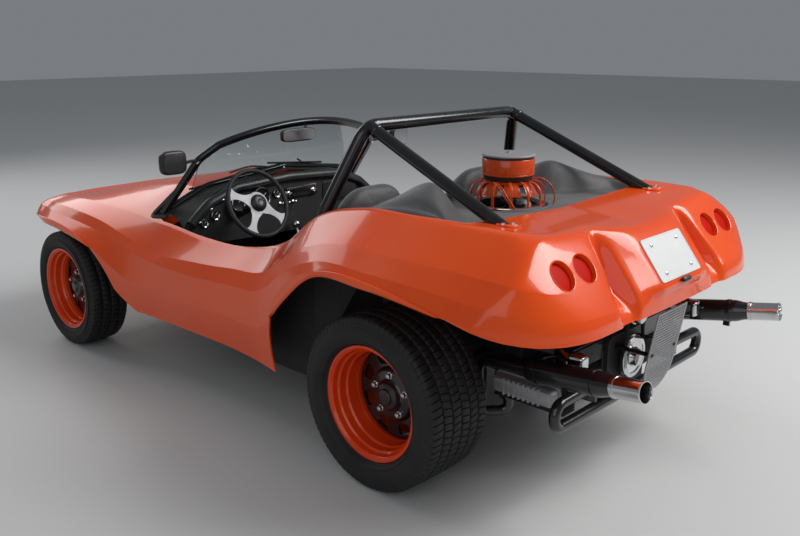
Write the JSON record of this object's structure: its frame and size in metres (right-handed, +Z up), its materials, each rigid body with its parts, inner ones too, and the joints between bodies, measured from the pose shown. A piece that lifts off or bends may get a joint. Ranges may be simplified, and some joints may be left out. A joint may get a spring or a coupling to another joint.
{
  "type": "dune buggy",
  "caption": "Open two-seat dune buggy: glass-fibre body, roll bar, raked windscreen, steered front wheels and a rear engine under a caged air cleaner.",
  "frame": {"origin": "centre of the car's footprint on the ground", "axes": "+X to the car's left, +Y to its rear, +Z up"},
  "size_m": [1.6718, 3.5146, 1.2374],
  "materials": {
    "body_orange": "glossy orange gel coat",
    "rim_orange": "glossy orange paint",
    "cage_orange": "orange anodised metal",
    "trim_black": "black textured coating",
    "black_paint": "gloss black paint",
    "black_vinyl": "black grained vinyl",
    "black_rubber": "black grip",
    "black_plastic": "black plastic",
    "clear_glass": "clear glass",
    "alloy": "satin aluminium",
    "bright_metal": "polished",
    "engine_metal": "dark engine metal",
    "red_lens": "red lens",
    "plate_white": "white painted sheet",
    "tyre_rubber": "black tyre rubber"
  },
  "bodies": {
    "chassis": {"body_shell": "body_orange", "front_pan": "body_orange", "cockpit_tub": "trim_black", "rear_cover": "black_vinyl", "rear_panels": "trim_black", "windscreen_frame": "black_paint", "windscreen_glass": "clear_glass", "roll_bar": "black_paint", "dashboard": "black_vinyl", "steering_column": "black_paint", "gear_lever": "bright_metal", "pedals": "alloy", "seat_left": "black_vinyl", "seat_right": "black_vinyl", "door_mirrors": "black_plastic", "cabin_mirror": "black_plastic", "engine": "engine_metal", "intake_cage": "cage_orange", "air_cleaner": "cage_orange", "belt_guard": "alloy", "exhaust_left": "black_paint", "exhaust_right": "black_paint", "rear_bumper": "black_paint", "front_bumper": "black_paint", "front_beam": "black_paint", "transaxle": "engine_metal", "headlamps": "bright_metal", "tail_lamps": "red_lens", "number_plate": "plate_white"},
    "steering_wheel": {"steering_wheel": "black_rubber"},
    "knuckle_left": {"knuckle_left": "black_paint"},
    "knuckle_right": {"knuckle_right": "black_paint"},
    "tie_rod": {"tie_rod": "black_paint"},
    "wheel_front_left": {"tyre_front_left": "tyre_rubber", "rim_front_left": "rim_orange", "wheel_centre_front_left": "black_paint"},
    "wheel_front_right": {"tyre_front_right": "tyre_rubber", "rim_front_right": "rim_orange", "wheel_centre_front_right": "black_paint"},
    "wheel_rear_left": {"tyre_rear_left": "tyre_rubber", "rim_rear_left": "rim_orange", "wheel_centre_rear_left": "black_paint"},
    "wheel_rear_right": {"tyre_rear_right": "tyre_rubber", "rim_rear_right": "rim_orange", "wheel_centre_rear_right": "black_paint"}
  },
  "joints": [
    {"name": "steering_wheel_turn", "type": "hinge", "parent": "chassis", "child": "steering_wheel", "pos_m": [0.33, -0.2632, 0.806], "axis": [0, 0.9063, 0.4226], "range_deg": [-420, 420]},
    {"name": "knuckle_left_steer", "type": "hinge", "parent": "chassis", "child": "knuckle_left", "pos_m": [0.545, -1.2992, 0.294], "axis": [0, 0, 1], "range_deg": [-28, 28]},
    {"name": "knuckle_right_steer", "type": "hinge", "parent": "chassis", "child": "knuckle_right", "pos_m": [-0.545, -1.2992, 0.294], "axis": [0, 0, 1], "range_deg": [-28, 28]},
    {"name": "tie_rod_slide", "type": "slide", "parent": "chassis", "child": "tie_rod", "axis": [1, 0, 0], "range_m": [-0.0564, 0.0564]},
    {"name": "wheel_front_left_spin", "type": "hinge", "parent": "knuckle_left", "child": "wheel_front_left", "pos_m": [0.6875, -1.2992, 0.294], "axis": [1, 0, 0], "continuous": true},
    {"name": "wheel_front_right_spin", "type": "hinge", "parent": "knuckle_right", "child": "wheel_front_right", "pos_m": [-0.6875, -1.2992, 0.294], "axis": [1, 0, 0], "continuous": true},
    {"name": "wheel_rear_left_spin", "type": "hinge", "parent": "chassis", "child": "wheel_rear_left", "pos_m": [0.6375, 0.8678, 0.315], "axis": [1, 0, 0], "continuous": true},
    {"name": "wheel_rear_right_spin", "type": "hinge", "parent": "chassis", "child": "wheel_rear_right", "pos_m": [-0.6375, 0.8678, 0.315], "axis": [1, 0, 0], "continuous": true}
  ],
  "couplings": [
    {"joint": "knuckle_left_steer", "follows": "steering_wheel_turn", "ratio": 0.066667},
    {"joint": "knuckle_right_steer", "follows": "steering_wheel_turn", "ratio": 0.066667},
    {"joint": "tie_rod_slide", "follows": "steering_wheel_turn", "m_per_rad": -0.00768}
  ]
}
